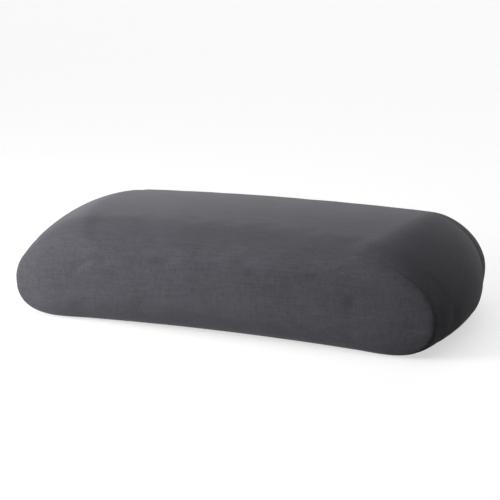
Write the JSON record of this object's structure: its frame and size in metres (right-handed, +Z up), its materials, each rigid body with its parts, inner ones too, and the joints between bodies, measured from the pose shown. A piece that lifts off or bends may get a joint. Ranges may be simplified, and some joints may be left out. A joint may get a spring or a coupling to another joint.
{
  "type": "kneeling pad",
  "caption": "Loaf-shaped foam kneeling pad with a flat base, in a stretched knit cover that closes with a coil zip along its back.",
  "frame": {"origin": "on the floor, under the middle of the pad's box", "axes": "+X along the pad, -Y towards its front, +Z up"},
  "size_m": [0.442, 0.226, 0.103],
  "materials": {
    "foam": "open-cell polyurethane foam",
    "knit_cover": "brushed charcoal knit",
    "base_knit": "flat charcoal knit",
    "thread": "charcoal polyester thread",
    "zip_tape": "woven polyester tape",
    "zip_coil": "nylon",
    "zip_metal": "satin black coated zinc"
  },
  "bodies": {
    "pad": {"foam_core": "foam", "cover_front_panel": "knit_cover", "cover_wrap_band": "knit_cover", "cover_base_panel": "base_knit", "cover_back_upper_panel": "knit_cover", "cover_back_lower_panel": "knit_cover", "front_seam_thread": "thread", "back_seam_thread": "thread", "base_seam_threads": "thread", "back_end_seam_threads": "thread", "zip_topstitching": "thread", "zip_tape_upper": "zip_tape", "zip_tape_lower": "zip_tape", "zip_coil_upper": "zip_coil", "zip_coil_lower": "zip_coil", "zip_top_stops": "zip_coil", "zip_bottom_stop": "zip_metal"},
    "slider": {"zip_slider": "zip_metal"},
    "pull_tab": {"zip_pull_tab": "zip_metal"}
  },
  "joints": [
    {"name": "zip_slide", "type": "slide", "parent": "pad", "child": "slider", "axis": [1, 0, 0], "range_m": [-0.312, 0], "deforming": ["zip_coil_upper", "zip_coil_lower"]},
    {"name": "tab_swing", "type": "hinge", "parent": "slider", "child": "pull_tab", "pos_m": [0.157, 0.1112, 0.05], "axis": [0, 0, -1], "range_deg": [0, 175]}
  ]
}
